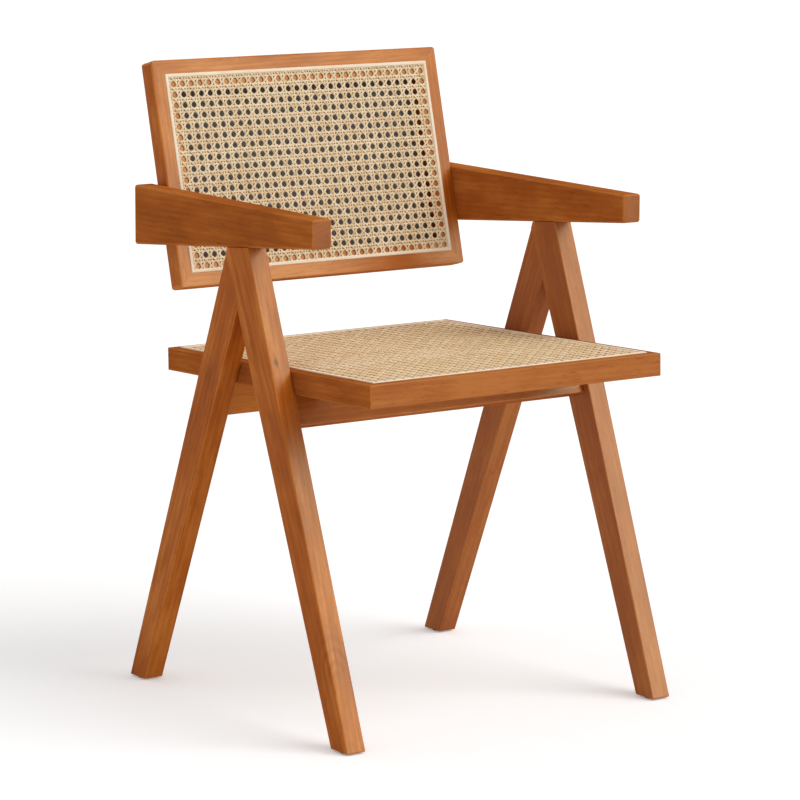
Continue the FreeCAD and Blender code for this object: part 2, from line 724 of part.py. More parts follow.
front_leg = left_leg_blank("left_front_leg", FRONT_LEG_OUTLINE,
                           (("_rear_cut", BEHIND_THE_PAIR), ("_arm_cut", ARM_OUTLINE)))
rear_leg = left_leg_blank("left_rear_leg", REAR_LEG_OUTLINE,
                          (("_seam_cut", AHEAD_OF_THE_SEAM), ("_arm_cut", ARM_OUTLINE)))
arm = left_arm_blank()
arm_bars, arm_holes = arm_dowels()
leg_bars, leg_holes = leg_dowels()
back_bars, back_holes = back_dowels()
front_glide, front_nail_hole = left_glide("left_front_glide", "derived.foot_front + sizes.foot_width / 2")
rear_glide, rear_nail_hole = left_glide("left_rear_glide", "derived.foot_rear - sizes.foot_width / 2")

envelope = seat_envelope()
front_screw, front_screw_hole = left_screw(FRONT_RAIL)
rear_screw, rear_screw_hole = left_screw(REAR_RAIL)
screw_holes = [front_screw_hole, rear_screw_hole]
right_screw_holes = [mirror("right_" + hole.Name, hole) for hole in screw_holes]
front_rail = cut("front_cross_rail", rail_blank(FRONT_RAIL),
                 [envelope, screw_holes[0], right_screw_holes[0]])
rear_rail = cut("rear_cross_rail", rail_blank(REAR_RAIL),
                [envelope, screw_holes[1], right_screw_holes[1]])

left_pieces = {
    "front_leg": cut("left_front_leg", front_leg, [front_rail] + arm_holes + leg_holes + [front_nail_hole]),
    "rear_leg": cut("left_rear_leg", rear_leg, [front_leg, rear_rail] + leg_holes + [rear_nail_hole]),
    "armrest": cut("left_armrest", arm, arm_holes + back_holes),
    "arm_dowels": group("left_arm_dowels", arm_bars),
    "leg_dowels": group("left_leg_dowels", leg_bars),
    "back_dowels": group("left_back_dowels", back_bars),
    "front_glide": front_glide,
    "rear_glide": rear_glide,
}
nodes = [front_rail, rear_rail]
for piece_name, piece in left_pieces.items():
    nodes.append(piece)
    nodes.append(mirror("right_" + piece_name, piece))

nodes.append(group("seat_screws", [front_screw, rear_screw,
                                   mirror("right_front_screw", front_screw),
                                   mirror("right_rear_screw", rear_screw)]))

right_back_holes = [mirror("right_" + hole.Name, hole) for hole in back_holes]
extra_cuts = {
    "seat_left_rail": screw_holes,
    "seat_right_rail": right_screw_holes,
    "back_left_stile": back_holes,
    "back_right_stile": right_back_holes,
}
for panel, rear_caned in ((SEAT, False), (BACK, True)):
    keys = mitre_keys(panel)
    nodes.append(keys)
    waste = surround(panel)
    for side, word in panel["sides"].items():
        name = member_name(panel, side)
        blank = frame_member(panel, side, rear_caned)
        nodes.append(cut(name, blank, [keys, waste] + extra_cuts.get(name, [])))
        nodes.append(spline_strip(panel, side, f"{panel['name']}_{word}_spline", rear=False))
        if rear_caned:
            nodes.append(spline_strip(panel, side, f"{panel['name']}_{word}_rear_spline", rear=True))
    nodes.append(cane_net(panel, panel["name"] + "_cane", "-derived.cane_rebate"))
nodes.append(cane_net(BACK, "back_rear_cane", "-sizes.back_thickness - sizes.cane_rise"))
nodes.append(lining())

doc.recompute()
for item in doc.Objects:
    if "Invalid" in item.State or "Error" in item.State:
        raise RuntimeError(f"{item.Name} failed: {item.State}")
for node in nodes:
    if node.Shape.isNull() or not node.Shape.isValid():
        raise RuntimeError(f"{node.Label} has no valid shape")

os.makedirs("parts", exist_ok=True)
for node in nodes:
    node.Shape.exportStep(f"parts/{node.Label}.step")
print(len(nodes), "nodes")
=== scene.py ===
"""Dresses a dining armchair: stained wood, woven cane and a plain studio.

Left and right are as seen from the front, which faces -Y. Lengths are in metres.
"""

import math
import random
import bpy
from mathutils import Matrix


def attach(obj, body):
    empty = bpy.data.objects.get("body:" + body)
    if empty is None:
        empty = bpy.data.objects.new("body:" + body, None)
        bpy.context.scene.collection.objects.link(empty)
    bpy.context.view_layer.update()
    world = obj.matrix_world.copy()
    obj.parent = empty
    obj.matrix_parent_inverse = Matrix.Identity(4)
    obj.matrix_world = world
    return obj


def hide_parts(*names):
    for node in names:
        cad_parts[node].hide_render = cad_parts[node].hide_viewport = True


bl_info = {
    "name": "Dining Armchair",
    "version": (1, 0, 0),
    "blender": (4, 5, 0),
    "location": "View3D > Sidebar > Armchair",
    "description": "Finishes the wood of a dining armchair, weaves its cane and sets its studio",
    "category": "Object",
}

import bpy
import numpy as np
from bpy.props import FloatProperty, FloatVectorProperty, PointerProperty
from bpy.types import Operator, Panel, PropertyGroup
from mathutils import Matrix, Vector

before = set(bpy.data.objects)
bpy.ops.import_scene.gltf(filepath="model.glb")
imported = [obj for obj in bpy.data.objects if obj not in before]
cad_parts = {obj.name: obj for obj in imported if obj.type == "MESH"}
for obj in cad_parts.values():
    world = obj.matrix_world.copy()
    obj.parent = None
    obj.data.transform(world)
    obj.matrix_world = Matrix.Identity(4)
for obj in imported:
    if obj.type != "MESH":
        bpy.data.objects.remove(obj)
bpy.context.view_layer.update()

MILLIMETRE = 0.001
FRONT = Vector((0, -1, 0))
REAR = Vector((0, 1, 0))
UP = Vector((0, 0, 1))
ACROSS = Vector((1, 0, 0))
WHITE = (1, 1, 1, 1)


# Sizes and colours that a user would change

def length(name, description, millimetres):
    return FloatProperty(name=name, description=description, default=millimetres * MILLIMETRE,
                         min=0.0, unit="LENGTH", subtype="DISTANCE")


def share(name, description, default):
    return FloatProperty(name=name, description=description, default=default,
                         min=0.0, max=1.0, subtype="FACTOR")


def shift(name, description, default):
    return FloatProperty(name=name, description=description, default=default,
                         min=-1.0, max=1.0, subtype="FACTOR")


def amount(name, description, default):
    return FloatProperty(name=name, description=description, default=default,
                         min=0.0, subtype="UNSIGNED")


def turn(name, description, degrees):
    return FloatProperty(name=name, description=description, default=math.radians(degrees),
                         unit="ROTATION", subtype="ANGLE")


def colour(name, description, red, green, blue):
    return FloatVectorProperty(name=name, description=description, default=(red, green, blue, 1.0),
                               size=4, min=0.0, max=1.0, subtype="COLOR")


def point(name, description, across, along, up):
    place = tuple(part * MILLIMETRE for part in (across, along, up))
    return FloatVectorProperty(name=name, description=description, default=place,
                               size=3, unit="LENGTH", subtype="XYZ")


class ArmchairWood(PropertyGroup):
    """The stained wood of the frame."""

    dark: colour("Dark grain", "Stain in the dark bands of the grain", 0.290, 0.063, 0.005)
    middle: colour("Body", "Stain over most of the wood", 0.415, 0.103, 0.010)
    light: colour("Light grain", "Stain in the pale bands of the grain", 0.560, 0.182, 0.030)
    pore: colour("Pores", "Short dark pores along the grain", 0.120, 0.022, 0.003)
    # Greyer stain: real fading, and on the unglossed boards and cut ends also painted sheen
    faded: colour("Faded", "Stain that has lost its red", 0.340, 0.143, 0.070)
    # Right legs: faded stain, partly real fading and partly painted sheen
    right_leg_fade_and_sheen: share("Right leg fade", "How far the stain of the right legs has faded", 0.38)
    # Armrests and seat boards: faded stain, partly painted sheen in place of their gloss
    rubbed_fade_and_sheen: share("Rubbed fade", "How far the armrests and most of the seat have faded", 0.18)
    # Painted sheen: the seat's front board is painted greyer in place of gloss
    seat_front_painted_sheen: share("Seat front fade", "How far the front board of the seat has faded", 0.40)
    gloss: share("Gloss", "Strength of the satin finish", 0.05)
    rubbed_gloss: share("Rubbed gloss", "Strength of the finish on the armrests and the seat", 0.0)
    leg_tone: shift("Leg tone", "How much paler the legs are than the body stain", 0.04)
    left_arm_tone: shift("Left arm tone", "How much paler the left armrest is", -0.15)
    right_arm_tone: shift("Right arm tone", "How much paler the right armrest is", 0.10)
    # Painted shade: the front cross rail is painted darker for the shade of the seat above it
    front_rail_painted_shade: shift("Front rail tone", "How much paler the front cross rail is", -0.25)
    rear_rail_tone: shift("Rear rail tone", "How much paler the rear cross rail is", 0.75)
    seat_tone: shift("Seat tone", "How much paler the side and rear boards of the seat are", -0.14)
    # Painted sheen: the seat's front board is painted paler in place of gloss
    seat_front_sheen_tone: shift("Seat front tone", "How much paler the front board of the seat is", 0.30)
    # Painted light: the boards of the back are painted paler for the brighter light high up
    back_painted_light: shift("Back tone", "How much paler the boards of the back are", 0.12)
    # Paler edges: partly worn stain, partly a painted highlight along the arrises
    wear_and_highlight: share("Edge wear", "How far the stain is rubbed off the edges", 0.45)
    # Cut ends: greyer stain, partly real end grain and partly painted sheen
    end_grain_and_sheen: share("End grain", "How far the stain of the cut ends has faded", 0.60)
    ring_spacing: length("Ring spacing", "Distance between growth rings", 6.5)
    pith_distance: length("Pith distance", "From a board to the heart of its tree", 70.0)
    knot_place: point("Knot", "Small knot on the front of the left front leg", -238.1, -81.4, 449.2)
    knot_reach: length("Knot reach", "From the middle of the knot to its side", 3.8)
    knot_depth: share("Knot depth", "How dark the knot is", 0.92)
    arch_place: point("Arch place", "Start of the arched grain on the left front leg",
                      -238.3, -213.6, 86.6)
    arch_reach: length("Arch reach", "How far the arches spread across the board", 35.0)
    arch_depth: share("Arch depth", "How dark the arches are", 0.24)
    arch_count: amount("Arches", "How many arches the reach holds", 4.8)
    stain_place: point("Stain", "Dark patch on the outside of the left rear leg",
                       -247.0, 46.5, 420.6)
    stain_reach: length("Stain reach", "From the middle of the patch to its side", 15.0)
    stain_depth: share("Stain depth", "How dark the patch is", 0.30)


class ArmchairCane(PropertyGroup):
    """The woven cane of the seat and the back."""

    pitch_across: length("Hole pitch across", "Between the middles of neighbouring holes", 13.2)
    pitch_along: length("Hole pitch along", "Between the middles of neighbouring holes", 13.6)
    strand_width: length("Strand width", "Width of the paired strands", 2.6)
    diagonal_width: length("Diagonal width", "Width of the slanting strands", 2.7)
    strand_thickness: length("Strand thickness", "Thickness of every strand", 0.85)
    pair_reach: length("Pair reach", "From the middle of a pair to each of its strands", 1.9)
    tuck: length("Tuck", "How far the strands run under the spline", 1.5)
    back_first_column: length("Back first column", "From the left edge to the first hole", 6.7)
    back_first_row: length("Back first row", "From the lower edge to the first hole", 3.4)
    skin: colour("Skin", "Pale outer skin of the cane in the back", 0.91, 0.76, 0.53)
    fibre: colour("Fibre", "Darker streaks along that cane", 0.68, 0.48, 0.26)
    # Seat cane: a little warmer than the back's, and also painted paler as painted light for its
    # upward face
    seat_lit_skin: colour("Seat skin", "Outer skin of the cane in the seat", 0.94, 0.76, 0.51)
    seat_lit_fibre: colour("Seat fibre", "Darker streaks along that cane", 0.74, 0.50, 0.26)
    spline: colour("Spline", "Reed that locks the cane", 0.93, 0.82, 0.66)
    spline_streak: colour("Spline streaks", "Darker streaks along the reed", 0.84, 0.68, 0.48)


class ArmchairSmallParts(PropertyGroup):
    """Lining, dowels, screws and glides."""

    lining: colour("Lining", "Dark cloth in the back", 0.235, 0.235, 0.240)
    lining_thread: colour("Lining thread", "Lighter threads of that cloth", 0.320, 0.320, 0.325)
    lining_sag: length("Lining sag", "How far the cloth hangs out of flat", 0.7)
    pale_wood: colour("Pale wood", "Dowels and mitre keys", 0.62, 0.43, 0.25)
    pale_grain: colour("Pale grain", "Grain of the dowels and keys", 0.47, 0.29, 0.15)
    steel: colour("Steel", "Zinc plated screws", 0.60, 0.60, 0.58)
    steel_tarnish: colour("Tarnish", "Dull patches on the screws", 0.36, 0.35, 0.33)
    glide: colour("Glide", "Foot pads", 0.045, 0.032, 0.024)
    glide_worn: colour("Worn glide", "Rubbed patches on the foot pads", 0.090, 0.072, 0.058)


class ArmchairStage(PropertyGroup):
    """Camera, light and floor."""

    azimuth: turn("Azimuth", "Camera, round the chair from the front", -35.660)
    elevation: turn("Elevation", "Camera, above the level", 9.648)
    roll: turn("Roll", "Camera, about its own axis", 0.234)
    distance: length("Distance", "Camera to its target", 4684.2)
    target: point("Target", "Point that the camera looks at", 1.925, -1.382, 369.862)
    lens: FloatProperty(name="Lens", description="Focal length in millimetres", default=167.88,
                        min=1.0, unit="CAMERA", subtype="DISTANCE_CAMERA")
    ambient: share("Ambient", "Brightness of the studio all round", 0.62)
    key: amount("Key light", "Strength of the soft light from the front", 1.45)
    key_azimuth: turn("Key azimuth", "Key light, round the chair from the front", 36.0)
    key_elevation: turn("Key elevation", "Key light, above the level", 45.0)
    key_softness: turn("Key softness", "Angle that the key light fills", 46.0)
    softbox_azimuth: turn("Softbox azimuth", "Softbox, round the chair from the front", 34.5)
    softbox_distance: length("Softbox distance", "From the chair's middle to the softbox", 1900.0)
    softbox_height: length("Softbox height", "From the floor to the middle of the softbox", 1130.0)
    softbox_width: length("Softbox width", "Width of the panel that gives the sheen", 900.0)
    softbox_length: length("Softbox length", "Height of that panel", 1700.0)
    softbox_sheen: amount("Softbox sheen", "Radiance of that panel", 54.0)
    softbox: colour("Softbox", "Warm white of that panel", 1.0, 0.95, 0.62)
    floor: colour("Floor", "Studio floor", 0.88, 0.88, 0.88)
    floor_lift: share("Floor lift", "Brightness added to the floor as the camera sees it", 0.24)
    floor_reach: length("Floor reach", "Half the width of the floor", 40000.0)


def wood_settings():
    return bpy.context.scene.armchair_wood


def cane_settings():
    return bpy.context.scene.armchair_cane


def small_settings():
    return bpy.context.scene.armchair_small_parts


def stage_settings():
    return bpy.context.scene.armchair_stage


# Building blocks for materials

# Phase of Blender's wave texture for each unit of scale and distance
WAVE_PHASE = 20.0

# Ranges that hold most of a noise, and the middle of it
MOST_NOISE = (0.30, 0.70)
MID_NOISE = (0.35, 0.65)


class Shader:
    """A node material under construction."""

    # Sockets of the mix node that carry colours
    MIX_FIRST, MIX_SECOND, MIX_RESULT = 6, 7, 2

    def __init__(self, name):
        self.material = bpy.data.materials.new(name)
        self.material.use_nodes = True
        self.tree = self.material.node_tree
        self.surface = self.tree.nodes["Principled BSDF"]

    def add(self, kind, **inputs):
        """A node whose sockets take numbers, colours or the outputs of other nodes."""
        node = self.tree.nodes.new("ShaderNode" + kind)
        for socket, content in inputs.items():
            self.feed(node.inputs[socket.replace("_", " ")], content)
        return node

    def feed(self, socket, content):
        if isinstance(content, bpy.types.NodeSocket):
            self.tree.links.new(content, socket)
        else:
            socket.default_value = content

    def set(self, **inputs):
        """Feeds the sockets of the surface itself."""
        for socket, content in inputs.items():
            self.feed(self.surface.inputs[socket.replace("_", " ")], content)

    def coordinates(self, kind="Object"):
        return self.add("TexCoord").outputs[kind]

    def stretched(self, vector, scale):
        return self.add("Mapping", Vector=vector, Scale=scale).outputs["Vector"]

    def noise(self, vector, scale, detail=2.0, roughness=0.5):
        node = self.add("TexNoise", Vector=vector, Scale=scale, Detail=detail, Roughness=roughness)
        return node.outputs["Fac"]

    def grain(self, board, along, scale, detail=2.0, roughness=0.5):
        """Noise drawn out along the grain, where the board's coordinates are scaled down."""
        return self.noise(self.stretched(board, (1, 1, along)), scale, detail, roughness)

    def rings(self, vector, direction, per_unit, distortion, detail):
        """Rings round an axis or a point, so many to each unit of distance."""
        node = self.add("TexWave", Vector=vector, Distortion=distortion, Detail=detail,
                        Scale=2 * math.pi / WAVE_PHASE * per_unit)
        node.wave_type = "RINGS"
        node.rings_direction = direction
        return node.outputs["Fac"]

    def maths(self, operation, first, second=0.0):
        node = self.tree.nodes.new("ShaderNodeMath")
        node.operation = operation
        self.feed(node.inputs[0], first)
        self.feed(node.inputs[1], second)
        return node.outputs["Value"]

    def vectors(self, operation, first, second=(0, 0, 0)):
        """The sum of two vectors, or the number that a length or a dot product gives."""
        node = self.tree.nodes.new("ShaderNodeVectorMath")
        node.operation = operation
        self.feed(node.inputs[0], first)
        self.feed(node.inputs[1], second)
        return node.outputs["Vector" if operation == "ADD" else "Value"]

    def weighed(self, *parts):
        """The sum of some amounts, each times its weight."""
        total = self.maths("MULTIPLY", *parts[0])
        for part, weight in parts[1:]:
            total = self.maths("ADD", total, self.maths("MULTIPLY", part, weight))
        return total

    def ranged(self, value, low, high, new_low=0.0, new_high=1.0):
        """A value taken from one range to another and held there."""
        node = self.add("MapRange", Value=value, From_Min=low, From_Max=high,
                        To_Min=new_low, To_Max=new_high)
        return node.outputs["Result"]

    def ramp(self, position, *stops):
        """Colours along a scale, as pairs of position and colour."""
        node = self.add("ValToRGB", Fac=position)
        elements = node.color_ramp.elements
        while len(elements) < len(stops):
            elements.new(1.0)
        for element, (stop, tint) in zip(elements, stops):
            element.position = stop
            element.color = tint
        return node.outputs["Color"]

    def two_tone(self, value, low, high, first, second):
        """From one colour to another over a range of a value."""
        return self.ramp(self.ranged(value, low, high), (0.0, first), (1.0, second))

    def blend(self, factor, first, second):
        node = self.tree.nodes.new("ShaderNodeMix")
        node.data_type = "RGBA"
        self.feed(node.inputs["Factor"], factor)
        self.feed(node.inputs[self.MIX_FIRST], first)
        self.feed(node.inputs[self.MIX_SECOND], second)
        return node.outputs[self.MIX_RESULT]

    def bump(self, height, strength, distance):
        node = self.add("Bump", Height=height, Strength=strength, Distance=distance)
        self.feed(self.surface.inputs["Normal"], node.outputs["Normal"])


# Stained wood

# Layers of the figure: scale of the coordinates along the grain, noise scale, detail and roughness
DRIFT = (0.12, 22.0, 2.0, 0.5)
BLOTCH = (0.34, 18.0, 2.0, 0.5)
MOTTLE = (0.30, 75.0, 2.0, 0.5)
STREAK = (0.045, 110.0, 3.0, 0.5)
FIBRE = (0.040, 420.0, 4.0, 0.6)
PORES = (0.080, 850.0, 2.0, 0.5)

# How far the drift bends the grain across a board, in metres
DRIFT_BEND = (0.012, -0.009)

# Range of the weighed layers that takes the stain from dark to light
FIGURE_RANGE = (0.805, 1.425)

# Range of the pore noise that darkens, and how much it does
PORE_RANGE = (0.60, 0.72)
PORE_DEPTH = 0.40

# Roughness of the lacquer where the fibres are low and high, and what ends and level faces add
SATIN = (0.40, 0.32)
END_ROUGHNESS = 0.20
LEVEL_ROUGHNESS = 0.60

# Cosines between a face and a direction: from not facing it to facing it, and over a rounded edge
FACING = (0.80, 0.95)
ARRIS = (0.985, 0.90)

# Largest cosine between the grain and the faces that run along it
SIDEWAYS = 0.1

# Steepest slope of the grain in a board, and the length of tree that boards are cut from
GRAIN_SLOPE = 0.02
TREE_LENGTH = 5.0

# How much longer a mark is along the grain than across it
MARK_LENGTH = 2.0


def grain_axis(node):
    """The direction of a piece's length: the one along which its corners spread most."""
    corners = np.array([corner.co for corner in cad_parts[node].data.vertices])
    spreads, directions = np.linalg.eigh(np.cov(corners.T))
    axis = Vector(directions[:, int(np.argmax(spreads))])
    return axis if sum(axis) > 0 else -axis


def section_axis(node, axis):
    """The direction that a board's widest face along the grain looks in."""
    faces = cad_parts[node].data.polygons
    sides = [face for face in faces if abs(face.normal.dot(axis)) < SIDEWAYS]
    return max(sides, key=lambda face: face.area).normal.copy()


def board_coordinates(shader, axis, seed):
    """Coordinates whose Z runs along the grain and whose Z axis is the heart of the tree.

    The matrix does the same to a point of the chair.
    """
    chance = random.Random(seed)
    slope = Vector((chance.uniform(-GRAIN_SLOPE, GRAIN_SLOPE),
                    chance.uniform(-GRAIN_SLOPE, GRAIN_SLOPE), 1.0))
    turned = axis.rotation_difference(slope.normalized())
    bearing = chance.uniform(0, 2 * math.pi)
    heart = Vector((math.cos(bearing), math.sin(bearing), 0)) * wood_settings().pith_distance
    heart.z = chance.uniform(0, TREE_LENGTH)
    place = shader.add("Mapping", Vector=shader.coordinates(), Rotation=turned.to_euler(),
                       Location=heart)
    return place.outputs["Vector"], Matrix.Translation(heart) @ turned.to_matrix().to_4x4()


def from_spot(shader, board, spot, reach):
    """Coordinates in shares of the reach of a spot on a board, and the distance from it."""
    scale = Vector((1, 1, 1 / MARK_LENGTH)) / reach
    place = shader.add("Mapping", Vector=board, Scale=scale, Location=-spot * scale)
    offset = place.outputs["Vector"]
    return offset, shader.vectors("LENGTH", offset)


def patch(shader, board, spot, reach):
    """1 at a spot on a board and 0 beyond its reach, with an uneven edge."""
    offset, distance = from_spot(shader, board, spot, reach)
    uneven = shader.noise(offset, scale=1.6, detail=3.0)
    return shader.ranged(shader.weighed((distance, 1.0), (uneven, 0.8)), 1.4, 0.8)


def arches(shader, board, spot, reach):
    """Rings of grain above a spot on a board, fading out towards their reach."""
    offset, distance = from_spot(shader, board, spot, reach)
    rings = shader.rings(offset, "SPHERICAL", wood_settings().arch_count,
                         distortion=0.5, detail=1.0)
    height = shader.add("SeparateXYZ", Vector=offset).outputs["Z"]
    lines = shader.ranged(rings, 0.30, 0.95)
    above = shader.ranged(height, -0.05, 0.15)
    near = shader.ranged(distance, 1.0, 0.6)
    return shader.maths("MULTIPLY", shader.maths("MULTIPLY", lines, above), near)


def marks_on(node):
    """The marks of a board: how each is drawn, its place, its reach and how dark it is."""
    settings = wood_settings()
    if node == "left_front_leg":
        return ((patch, settings.knot_place, settings.knot_reach, settings.knot_depth),
                (arches, settings.arch_place, settings.arch_reach, settings.arch_depth))
    if node == "left_rear_leg":
        return ((patch, settings.stain_place, settings.stain_reach, settings.stain_depth),)
    return ()


def alignment(shader, *axes):
    """How squarely a face looks along the nearest of some axes, up to 1."""
    normal = shader.coordinates("Normal")
    best = 0.0
    for axis in axes:
        cosine = shader.vectors("DOT_PRODUCT", normal, axis)
        best = shader.maths("MAXIMUM", best, shader.maths("ABSOLUTE", cosine))
    return best


def stained_wood(node, tone_shift, fade_and_sheen, gloss):
    """Brown stained wood under a satin lacquer, its grain along the board.

    The cut ends are rougher and greyer, partly painted sheen; level faces are rubbed matt; the
    edges are paler, partly as worn stain and partly as a painted highlight.
    """
    shader = Shader("stained_" + node)
    settings = wood_settings()
    axis = grain_axis(node)
    board, to_board = board_coordinates(shader, axis, node)
    drift = shader.grain(board, *DRIFT)
    bend = shader.add("CombineXYZ", X=shader.maths("MULTIPLY", drift, DRIFT_BEND[0]),
                      Y=shader.maths("MULTIPLY", drift, DRIFT_BEND[1]))
    figured = shader.vectors("ADD", board, bend.outputs["Vector"])

    rings = shader.rings(figured, "Z", 1 / settings.ring_spacing, distortion=1.2, detail=3.0)
    blotch = shader.grain(board, *BLOTCH)
    mottle = shader.grain(figured, *MOTTLE)
    streak = shader.grain(figured, *STREAK)
    fibre = shader.grain(figured, *FIBRE)
    figure = shader.weighed((rings, 0.10), (blotch, 1.05), (mottle, 0.45), (streak, 0.24),
                            (fibre, 0.38))

    face = section_axis(node, axis)
    arris = shader.ranged(alignment(shader, axis, face, axis.cross(face)), *ARRIS)
    end = shader.ranged(alignment(shader, axis), *FACING)
    level = shader.ranged(alignment(shader, UP), *FACING)

    # The edges are painted paler, partly as worn stain and partly as a painted highlight
    tone = shader.weighed((shader.ranged(figure, *FIGURE_RANGE), 1.0), (arris, settings.wear_and_highlight))
    # Moving the stain towards the greyer colour is partly real fading and partly painted sheen
    dark, middle, light = (Vector(stain).lerp(Vector(settings.faded), fade_and_sheen)
                           for stain in (settings.dark, settings.middle, settings.light))
    body = shader.ramp(shader.maths("ADD", tone, tone_shift),
                       (0.0, dark), (0.5, middle), (1.0, light))
    # Cut ends move to the greyer stain, partly real end grain and partly painted sheen
    body = shader.blend(shader.maths("MULTIPLY", end, settings.end_grain_and_sheen), body, settings.faded)
    for draw, place, reach, depth in marks_on(node):
        darkness = draw(shader, board, to_board @ Vector(place), reach)
        body = shader.blend(shader.maths("MULTIPLY", darkness, depth), body, settings.pore)
    pores = shader.ranged(shader.grain(figured, *PORES), *PORE_RANGE, 0.0, PORE_DEPTH)
    satin = shader.weighed((shader.ranged(fibre, *MOST_NOISE, *SATIN), 1.0),
                           (end, END_ROUGHNESS), (level, LEVEL_ROUGHNESS))
    shader.set(Base_Color=shader.blend(pores, body, settings.pore), Roughness=satin,
               Specular_IOR_Level=gloss)
    relief = shader.maths("SUBTRACT", fibre, shader.maths("MULTIPLY", pores, 0.8))
    shader.bump(relief, strength=0.18, distance=0.25 * MILLIMETRE)
    return shader.material


# Finishes of the other pieces

def strand_cane(name, skin, fibre):
    """Cane with a pale skin and darker fibres along each strand."""
    shader = Shader(name)
    strand = shader.add("UVMap")
    strand.uv_map = StrandMesh.PLACES
    own = shader.add("Attribute")
    own.attribute_name = StrandMesh.TONES
    place = strand.outputs["UV"]
    streaks = shader.noise(shader.stretched(place, (1, 0.04, 1)), scale=2600.0, detail=3.0)
    blotch = shader.noise(shader.stretched(place, (0.2, 1, 1)), scale=38.0)
    tone = shader.weighed((streaks, 0.55), (blotch, 0.45), (own.outputs["Fac"], 0.35))
    tint = shader.two_tone(tone, 0.42, 0.90, fibre, skin)
    roughness = shader.ranged(streaks, *MOST_NOISE, 0.42, 0.55)
    shader.set(Base_Color=tint, Roughness=roughness, Specular_IOR_Level=0.0)
    shader.bump(streaks, strength=0.2, distance=0.1 * MILLIMETRE)
    return shader.material


def spline_reed(name, axis):
    """Pale split reed, its fibres along the groove."""
    shader = Shader(name)
    settings = cane_settings()
    reed, _ = board_coordinates(shader, axis, name)
    streaks = shader.grain(reed, along=0.02, scale=1500.0, detail=3.0)
    blotch = shader.grain(reed, along=0.5, scale=60.0)
    tone = shader.weighed((streaks, 0.6), (blotch, 0.4))
    tint = shader.two_tone(tone, 0.35, 0.60, settings.spline_streak, settings.spline)
    roughness = shader.ranged(streaks, *MOST_NOISE, 0.50, 0.62)
    shader.set(Base_Color=tint, Roughness=roughness, Specular_IOR_Level=0.0)
    shader.bump(streaks, strength=0.2, distance=0.15 * MILLIMETRE)
    return shader.material


def dark_cloth():
    """Plain woven lining cloth."""
    shader = Shader("lining_cloth")
    settings = small_settings()
    place = shader.coordinates()
    warp = shader.noise(shader.stretched(place, (1, 0.03, 0.03)), scale=1400.0, detail=1.0)
    weft = shader.noise(shader.stretched(place, (0.03, 1, 1)), scale=1400.0, detail=1.0)
    thread = shader.maths("MAXIMUM", warp, weft)
    tint = shader.two_tone(thread, 0.45, 0.68, settings.lining, settings.lining_thread)
    roughness = shader.ranged(thread, 0.40, 0.70, 0.95, 0.85)
    shader.set(Base_Color=tint, Roughness=roughness, Specular_IOR_Level=0.0)
    shader.bump(thread, strength=0.3, distance=0.2 * MILLIMETRE)
    return shader.material


def pale_hardwood(name, axis):
    """Bare pale wood of the dowels and mitre keys."""
    shader = Shader(name)
    settings = small_settings()
    board, _ = board_coordinates(shader, axis, name)
    streaks = shader.grain(board, along=0.04, scale=600.0, detail=4.0)
    tint = shader.two_tone(streaks, 0.32, 0.62, settings.pale_grain, settings.pale_wood)
    roughness = shader.ranged(streaks, *MOST_NOISE, 0.65, 0.80)
    shader.set(Base_Color=tint, Roughness=roughness, Specular_IOR_Level=0.05)
    shader.bump(streaks, strength=0.15, distance=0.1 * MILLIMETRE)
    return shader.material


def screw_steel():
    """Zinc plated steel with dull patches."""
    shader = Shader("screw_steel")
    settings = small_settings()
    patches = shader.noise(shader.coordinates(), scale=420.0, detail=4.0, roughness=0.6)
    tint = shader.two_tone(patches, 0.35, 0.62, settings.steel_tarnish, settings.steel)
    roughness = shader.ranged(patches, *MID_NOISE, 0.48, 0.30)
    shader.set(Base_Color=tint, Roughness=roughness, Metallic=1.0)
    return shader.material


def glide_pad():
    """Dark moulded foot pad, rubbed in patches."""
    shader = Shader("foot_glide")
    settings = small_settings()
    rubbed = shader.noise(shader.coordinates(), scale=300.0, detail=4.0, roughness=0.6)
    tint = shader.two_tone(rubbed, 0.45, 0.66, settings.glide, settings.glide_worn)
    roughness = shader.ranged(rubbed, *MID_NOISE, 0.62, 0.78)
    shader.set(Base_Color=tint, Roughness=roughness, Specular_IOR_Level=0.08)
    shader.bump(rubbed, strength=0.15, distance=0.1 * MILLIMETRE)
    return shader.material


def finish_node(node, material):
    """Gives a carried-over piece its finish."""
    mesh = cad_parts[node].data
    mesh.materials.clear()
    mesh.materials.append(material)


def finish_boards(*nodes, tone_shift, fade_and_sheen=0.0, rubbed=False):
    """Stains some boards alike. Hands and sitters rub the gloss off some of them."""
    gloss = wood_settings().rubbed_gloss if rubbed else wood_settings().gloss
    for node in nodes:
        finish_node(node, stained_wood(node, tone_shift, fade_and_sheen, gloss))


# Woven cane

class CanePanel:
    """The flat place of a cane sheet, read from the node that it replaces.

    Its origin is the lower left corner of the face that shows.
    """

    # Smallest cosine between the outward direction and the faces that show
    SHOWS = 0.5

    def __init__(self, node, outward, across):
        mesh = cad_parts[node].data
        facing = Vector()
        for face in mesh.polygons:
            if face.normal.dot(outward) > self.SHOWS:
                facing += face.normal * face.area
        self.node = node
        self.out = facing.normalized()
        self.across = across
        self.along = self.out.cross(across)
        corners = np.array([corner.co for corner in mesh.vertices])
        spans = [corners @ np.array(axis) for axis in (self.across, self.along, self.out)]
        self.width = float(np.ptp(spans[0]))
        self.length = float(np.ptp(spans[1]))
        self.depth = float(np.ptp(spans[2]))
        self.origin = (self.across * float(spans[0].min()) + self.along * float(spans[1].min())
                       + self.out * float(spans[2].max()))

    def to_chair(self):
        """The matrix from the panel's own frame to the chair's."""
        turned = Matrix((self.across, self.along, self.out)).transposed().to_4x4()
        return Matrix.Translation(self.origin) @ turned


